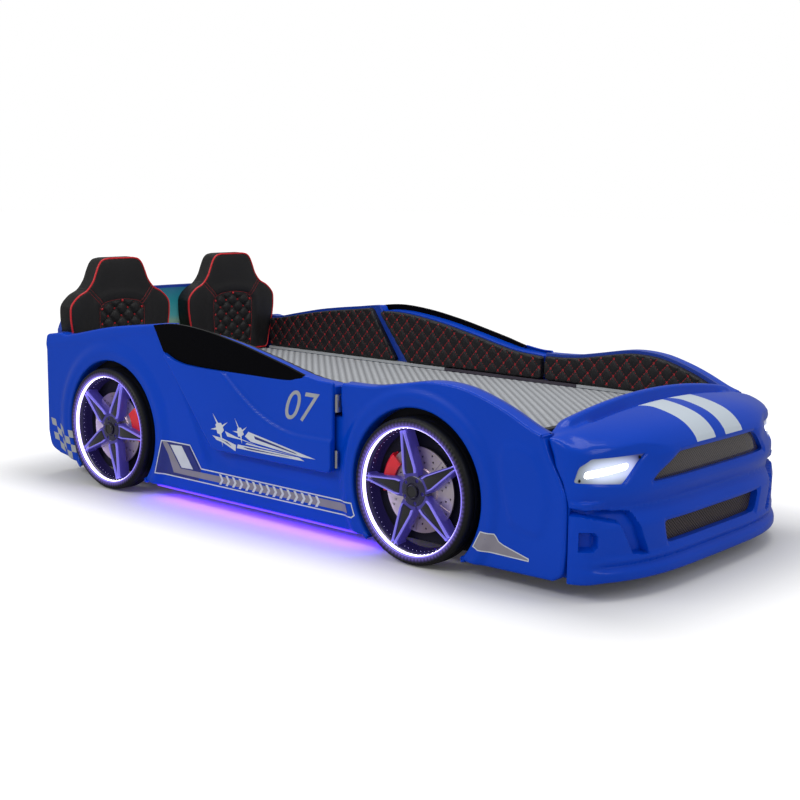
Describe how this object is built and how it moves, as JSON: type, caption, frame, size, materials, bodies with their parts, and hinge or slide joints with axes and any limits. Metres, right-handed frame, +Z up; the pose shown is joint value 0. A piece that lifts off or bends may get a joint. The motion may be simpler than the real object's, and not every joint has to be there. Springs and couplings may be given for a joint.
{
  "type": "children's car bed",
  "caption": "Car-shaped children's bed: low mattress between moulded car sides with hinged doors, quilted inner pads, seat-shaped head cushions and lit wheels and headlights.",
  "frame": {"origin": "on the floor, midway along and across the bed", "axes": "+X along the bed towards the nose, which is the foot end; +Y towards the car's left side; +Z up"},
  "size_m": [2.1982, 1.04, 0.7074],
  "materials": {
    "body_blue": "deep gloss blue vacuum-formed plastic",
    "board_blue": "fibreboard painted blue",
    "headboard_blue": "fibreboard painted gloss blue",
    "window_black": "gloss black, opaque",
    "quilted_leather": "black artificial leather quilted with red thread",
    "seat_leather": "black artificial leather with red piping and red stitching",
    "hinge_steel": "zinc-plated steel",
    "lens_clear": "clear acrylic",
    "tyre_black": "satin black moulding",
    "rim_gunmetal": "dark metallic lacquer",
    "disc_silver": "silver lacquer",
    "led_ring_white": "lit strip, cool white with a violet edge",
    "caliper_red": "gloss red",
    "cap_black": "gloss black",
    "print_teal": null,
    "grille_black": "black mesh",
    "led_white": "lit bar, white",
    "screw_black": "black",
    "board_dark": "fibreboard, black face",
    "mattress_fabric": "silver-grey woven ticking with a small diamond quilt",
    "slat_wood": "planed softwood",
    "leg_black": "black",
    "bolt_steel": "zinc-plated steel",
    "ledge_light": "light grey edging",
    "ledge_dark": "dark edging",
    "led_violet": "lit strip, violet",
    "box_black": "black"
  },
  "bodies": {
    "bed": {"side_panel_right": "body_blue", "side_board_right": "board_blue", "rear_pad_right": "quilted_leather", "front_pad_right": "quilted_leather", "seat_right": "seat_leather", "headlight_lens_right": "lens_clear", "tyre_front_right": "tyre_black", "rim_front_right": "rim_gunmetal", "brake_disc_front_right": "disc_silver", "led_ring_front_right": "led_ring_white", "tyre_rear_right": "tyre_black", "rim_rear_right": "rim_gunmetal", "brake_disc_rear_right": "disc_silver", "led_ring_rear_right": "led_ring_white", "side_panel_left": "body_blue", "side_board_left": "board_blue", "rear_pad_left": "quilted_leather", "front_pad_left": "quilted_leather", "seat_left": "seat_leather", "headlight_lens_left": "lens_clear", "tyre_front_left": "tyre_black", "rim_front_left": "rim_gunmetal", "brake_disc_front_left": "disc_silver", "led_ring_front_left": "led_ring_white", "tyre_rear_left": "tyre_black", "rim_rear_left": "rim_gunmetal", "brake_disc_rear_left": "disc_silver", "led_ring_rear_left": "led_ring_white", "hinge_frame_leaves": "hinge_steel", "hinge_pins": "hinge_steel", "brake_calipers": "caliper_red", "hub_caps": "cap_black", "headboard": "headboard_blue", "headboard_print": "print_teal", "front_shell": "body_blue", "upper_grille": "grille_black", "lower_grille": "grille_black", "headlight_leds": "led_white", "screws": "screw_black", "foot_board": "board_dark", "mattress": "mattress_fabric", "slats": "slat_wood", "side_rails": "slat_wood", "cross_members": "slat_wood", "centre_beam": "slat_wood", "legs": "leg_black", "rail_bolts": "bolt_steel", "ledge_strips_light": "ledge_light", "ledge_strips_dark": "ledge_dark", "underglow_strips": "led_violet", "control_box": "box_black"},
    "right_door": {"door_right": "body_blue", "door_window_right": "window_black", "door_pad_right": "quilted_leather", "hinge_door_leaves_right": "hinge_steel"},
    "left_door": {"door_left": "body_blue", "door_window_left": "window_black", "door_pad_left": "quilted_leather", "hinge_door_leaves_left": "hinge_steel"}
  },
  "joints": [
    {"name": "right_door_hinge", "type": "hinge", "parent": "bed", "child": "right_door", "pos_m": [0.226, -0.501, 0.31], "axis": [0, 0, 1], "range_deg": [0, 75]},
    {"name": "left_door_hinge", "type": "hinge", "parent": "bed", "child": "left_door", "pos_m": [0.226, 0.501, 0.31], "axis": [0, 0, -1], "range_deg": [0, 75]}
  ]
}
